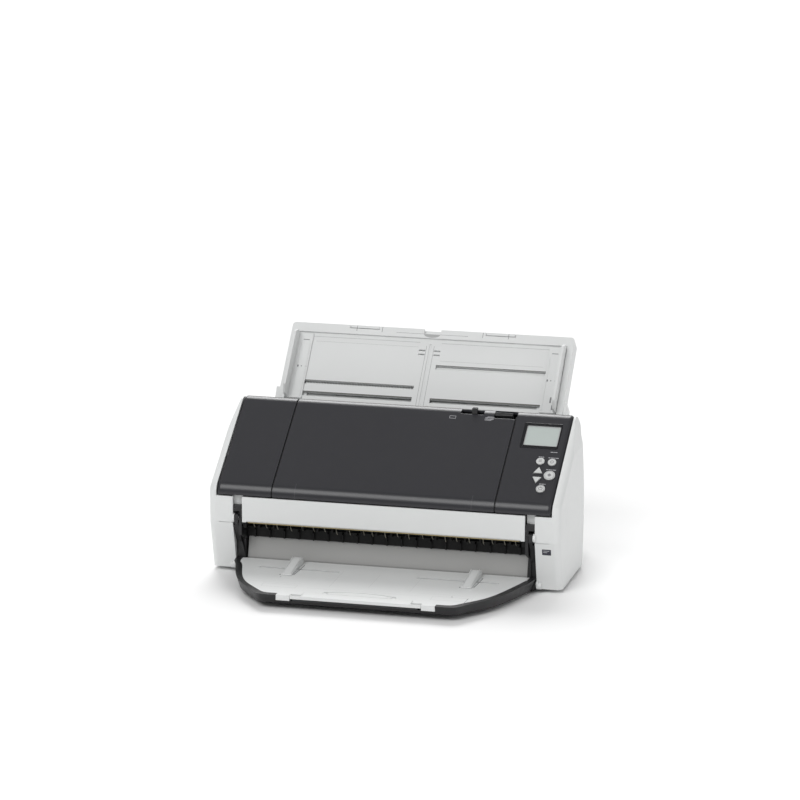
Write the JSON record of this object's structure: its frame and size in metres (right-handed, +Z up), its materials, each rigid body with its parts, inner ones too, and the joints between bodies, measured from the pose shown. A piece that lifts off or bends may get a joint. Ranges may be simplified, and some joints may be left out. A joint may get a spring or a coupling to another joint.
{
  "type": "sheet fed document scanner",
  "caption": "Desktop sheet fed scanner with a forward-opening dark cover, operator panel, sliding paper chute and fold-out output tray.",
  "frame": {"origin": "on the desk, under the middle of the bounding box", "axes": "+Z up, +X to the right seen from the front, -Y towards the user"},
  "size_m": [0.38, 0.3481, 0.2261],
  "materials": {
    "dark_plastic": "satin moulded",
    "light_plastic": "fine moulded texture",
    "black_plastic": "fine moulded texture",
    "grey_plastic": "satin moulded",
    "button_grey": "satin moulded",
    "gloss_black": "polished",
    "screen": "unlit display",
    "scan_glass": "polished",
    "steel": "ground",
    "zinc_steel": "zinc plated",
    "roller_rubber": "ground rubber",
    "foot_rubber": "moulded",
    "circuit_board": "solder mask"
  },
  "bodies": {
    "base": {"base_chassis": "black_plastic", "base_screws": "zinc_steel", "feet": "foot_rubber", "cover_hinge_pins": "steel", "left_side_cover": "light_plastic", "right_side_cover": "light_plastic", "rear_cover": "light_plastic", "dc_inlet": "black_plastic", "usb_port": "steel", "front_lower_cover": "grey_plastic", "lower_guide": "black_plastic", "lower_scan_unit": "black_plastic", "lower_scan_glass": "scan_glass", "drive_motor": "steel", "drive_belt": "foot_rubber", "main_board": "circuit_board", "chute_plate": "light_plastic", "chute_back": "light_plastic"},
    "cover": {"centre_cover": "dark_plastic", "left_cover_panel": "dark_plastic", "operator_panel": "dark_plastic", "display_bezel": "gloss_black", "display_panel": "screen", "button_board": "circuit_board", "front_band": "light_plastic", "upper_guide": "black_plastic", "upper_scan_unit": "black_plastic", "upper_scan_glass": "scan_glass"},
    "pick_roller": {"pick_shaft": "steel", "pick_tyres": "roller_rubber"},
    "feed_roller": {"feed_shaft": "steel", "feed_tyres": "roller_rubber"},
    "exit_roller": {"exit_shaft": "steel", "exit_tyres": "roller_rubber"},
    "motor_rotor": {"motor_pulley": "steel"},
    "brake_roller": {"brake_shaft": "steel", "brake_tyres": "roller_rubber"},
    "idler_roller": {"idler_shaft": "steel", "idler_rings": "grey_plastic"},
    "selector": {"selector_knob": "black_plastic"},
    "release": {"release_tab": "black_plastic"},
    "stacker": {"stacker_frame": "black_plastic", "stacker_floor": "light_plastic"},
    "stacker_slide_1": {"stacker_extension_1": "light_plastic"},
    "stacker_slide_2": {"stacker_extension_2": "black_plastic"},
    "stacker_stop": {"stacker_stopper": "light_plastic"},
    "stacker_side_left": {"stacker_guide_left": "light_plastic"},
    "stacker_side_right": {"stacker_guide_right": "light_plastic"},
    "chute_side_left": {"chute_guide_left": "light_plastic"},
    "chute_side_right": {"chute_guide_right": "light_plastic"},
    "pinion": {"chute_pinion": "grey_plastic"},
    "chute_slide_1": {"chute_extension_1": "light_plastic"},
    "chute_slide_2": {"chute_extension_2": "light_plastic"},
    "menu_button_key": {"menu_button": "button_grey"},
    "clear_button_key": {"clear_button": "button_grey"},
    "scan_button_key": {"scan_button": "button_grey"},
    "power_button_key": {"power_button": "button_grey"},
    "up_button_key": {"up_button": "button_grey"},
    "down_button_key": {"down_button": "button_grey"}
  },
  "joints": [
    {"name": "cover_hinge", "type": "hinge", "parent": "base", "child": "cover", "pos_m": [0, -0.054, 0.056], "axis": [1, 0, 0], "range_deg": [0, 65]},
    {"name": "stacker_fold", "type": "hinge", "parent": "base", "child": "stacker", "pos_m": [0, -0.057, 0.062], "axis": [1, 0, 0], "range_deg": [-85, 0]},
    {"name": "stacker_slide_1_out", "type": "slide", "parent": "stacker", "child": "stacker_slide_1", "axis": [0, -1, 0], "range_m": [0, 0.07]},
    {"name": "stacker_slide_2_out", "type": "slide", "parent": "stacker_slide_1", "child": "stacker_slide_2", "axis": [0, -1, 0], "range_m": [0, 0.06]},
    {"name": "stacker_stop_flip", "type": "hinge", "parent": "stacker_slide_1", "child": "stacker_stop", "pos_m": [0, -0.1555, 0.0147], "axis": [1, 0, 0], "range_deg": [0, 90]},
    {"name": "stacker_side_left_slide", "type": "slide", "parent": "stacker", "child": "stacker_side_left", "axis": [-1, 0, 0], "range_m": [-0.045, 0.031]},
    {"name": "stacker_side_right_slide", "type": "slide", "parent": "stacker", "child": "stacker_side_right", "axis": [1, 0, 0], "range_m": [-0.0525, 0.0235]},
    {"name": "chute_side_left_slide", "type": "slide", "parent": "base", "child": "chute_side_left", "axis": [1, 0, 0], "range_m": [0, 0.115]},
    {"name": "chute_side_right_slide", "type": "slide", "parent": "base", "child": "chute_side_right", "axis": [-1, 0, 0], "range_m": [0, 0.115]},
    {"name": "pinion_spin", "type": "hinge", "parent": "base", "child": "pinion", "pos_m": [0, 0.12678, 0.17819], "axis": [0, -0.7373, 0.6756], "range_deg": [0, 550]},
    {"name": "chute_slide_1_out", "type": "slide", "parent": "base", "child": "chute_slide_1", "axis": [0, 0.6756, 0.7373], "range_m": [0, 0.07]},
    {"name": "chute_slide_2_out", "type": "slide", "parent": "chute_slide_1", "child": "chute_slide_2", "axis": [0, 0.6756, 0.7373], "range_m": [0, 0.06]},
    {"name": "pick_spin", "type": "hinge", "parent": "base", "child": "pick_roller", "pos_m": [0, 0.07833, 0.11751], "axis": [1, 0, 0], "continuous": true},
    {"name": "feed_spin", "type": "hinge", "parent": "base", "child": "feed_roller", "pos_m": [0, 0.04461, 0.09672], "axis": [1, 0, 0], "continuous": true},
    {"name": "exit_spin", "type": "hinge", "parent": "base", "child": "exit_roller", "pos_m": [0, -0.0166, 0.05473], "axis": [1, 0, 0], "continuous": true},
    {"name": "motor_spin", "type": "hinge", "parent": "base", "child": "motor_rotor", "pos_m": [0, 0.02, 0.034], "axis": [1, 0, 0], "continuous": true},
    {"name": "brake_spin", "type": "hinge", "parent": "cover", "child": "brake_roller", "pos_m": [0, 0.03262, 0.11323], "axis": [1, 0, 0], "continuous": true},
    {"name": "idler_spin", "type": "hinge", "parent": "cover", "child": "idler_roller", "pos_m": [0, -0.02565, 0.06718], "axis": [1, 0, 0], "continuous": true},
    {"name": "selector_slide", "type": "slide", "parent": "cover", "child": "selector", "axis": [1, 0, 0], "range_m": [-0.0115, 0.0065]},
    {"name": "release_pull", "type": "hinge", "parent": "cover", "child": "release", "pos_m": [0, 0.047, 0.146], "axis": [1, 0, 0], "range_deg": [0, 10], "stiffness_Nm_per_rad": 0.1},
    {"name": "menu_button_press", "type": "slide", "parent": "cover", "child": "menu_button_key", "axis": [0, 0.5627, -0.8267], "range_m": [0, 0.0007], "stiffness_N_per_m": 300},
    {"name": "clear_button_press", "type": "slide", "parent": "cover", "child": "clear_button_key", "axis": [0, 0.5627, -0.8267], "range_m": [0, 0.0007], "stiffness_N_per_m": 300},
    {"name": "scan_button_press", "type": "slide", "parent": "cover", "child": "scan_button_key", "axis": [0, 0.5627, -0.8267], "range_m": [0, 0.0007], "stiffness_N_per_m": 300},
    {"name": "power_button_press", "type": "slide", "parent": "cover", "child": "power_button_key", "axis": [0, 0.5627, -0.8267], "range_m": [0, 0.0007], "stiffness_N_per_m": 300},
    {"name": "up_button_press", "type": "slide", "parent": "cover", "child": "up_button_key", "axis": [0, 0.5627, -0.8267], "range_m": [0, 0.0007], "stiffness_N_per_m": 300},
    {"name": "down_button_press", "type": "slide", "parent": "cover", "child": "down_button_key", "axis": [0, 0.5627, -0.8267], "range_m": [0, 0.0007], "stiffness_N_per_m": 300}
  ],
  "couplings": [
    {"joint": "chute_side_right_slide", "follows": "chute_side_left_slide", "ratio": 1},
    {"joint": "pinion_spin", "follows": "chute_side_left_slide", "rad_per_m": 83.333},
    {"joint": "feed_spin", "follows": "pick_spin", "ratio": 1},
    {"joint": "exit_spin", "follows": "pick_spin", "ratio": 1},
    {"joint": "motor_spin", "follows": "pick_spin", "ratio": 1}
  ]
}
